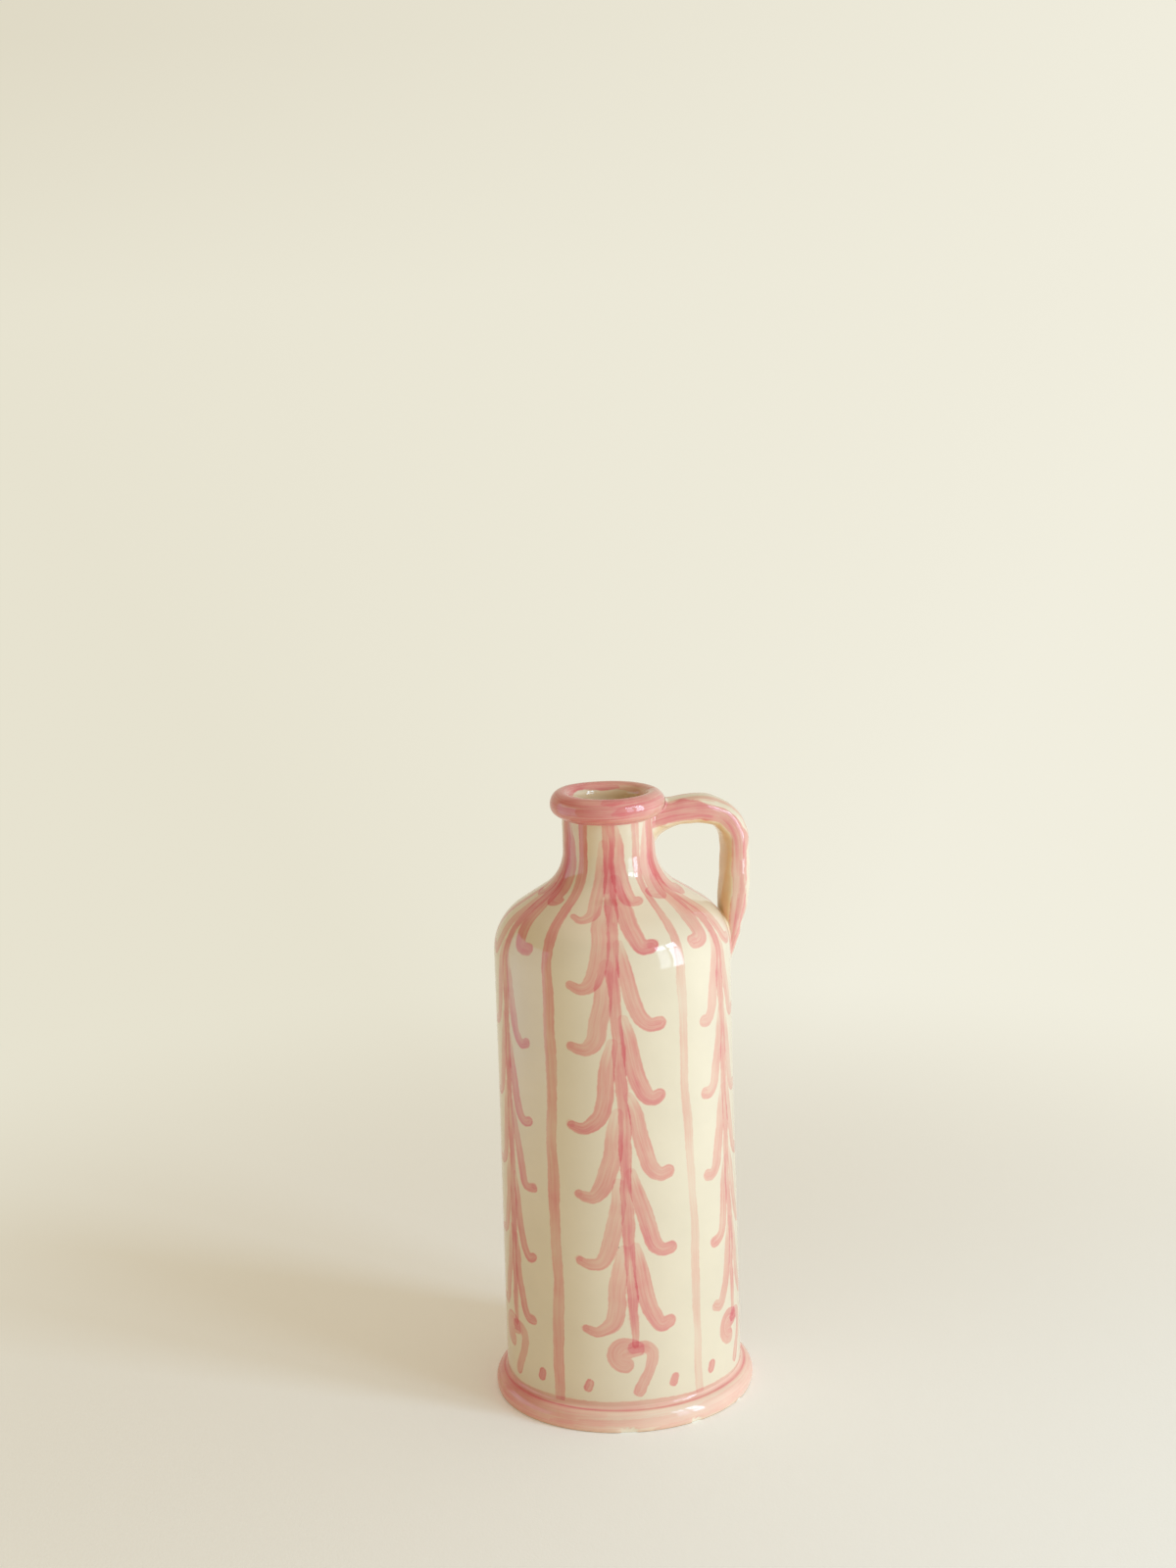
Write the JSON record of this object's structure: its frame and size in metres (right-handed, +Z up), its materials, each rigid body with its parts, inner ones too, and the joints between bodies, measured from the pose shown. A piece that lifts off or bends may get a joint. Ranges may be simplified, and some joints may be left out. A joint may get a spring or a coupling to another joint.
{
  "type": "ceramic oil cruet with a handle",
  "caption": "Tall cylindrical glazed earthenware oil bottle with a sloping shoulder, short neck, rolled mouth, rolled foot and a small side handle, hand painted in pink on cream.",
  "frame": {"origin": "middle of the flat underside, on the bottle's axis", "axes": "+Z up along the bottle's axis, +X from the axis towards the handle, +Y to the left of someone looking along +X"},
  "size_m": [0.11, 0.1062, 0.25],
  "materials": {
    "bare_clay": "unglazed buff earthenware, matt",
    "cream_glaze": "glossy cream glaze with faint pinholes",
    "painted_glaze": "glossy cream glaze brushed with washy pink stripes, leafed stems and dots",
    "pink_glaze": "glossy brushed pink with darker and paler streaks"
  },
  "bodies": {
    "root": {"base_disc": "bare_clay", "foot_roll": "pink_glaze", "body_wall": "painted_glaze", "shoulder": "painted_glaze", "neck": "painted_glaze", "rim_roll": "pink_glaze", "handle_strap": "pink_glaze", "upper_handle_joint": "cream_glaze", "lower_handle_joint": "cream_glaze"}
  },
  "joints": []
}
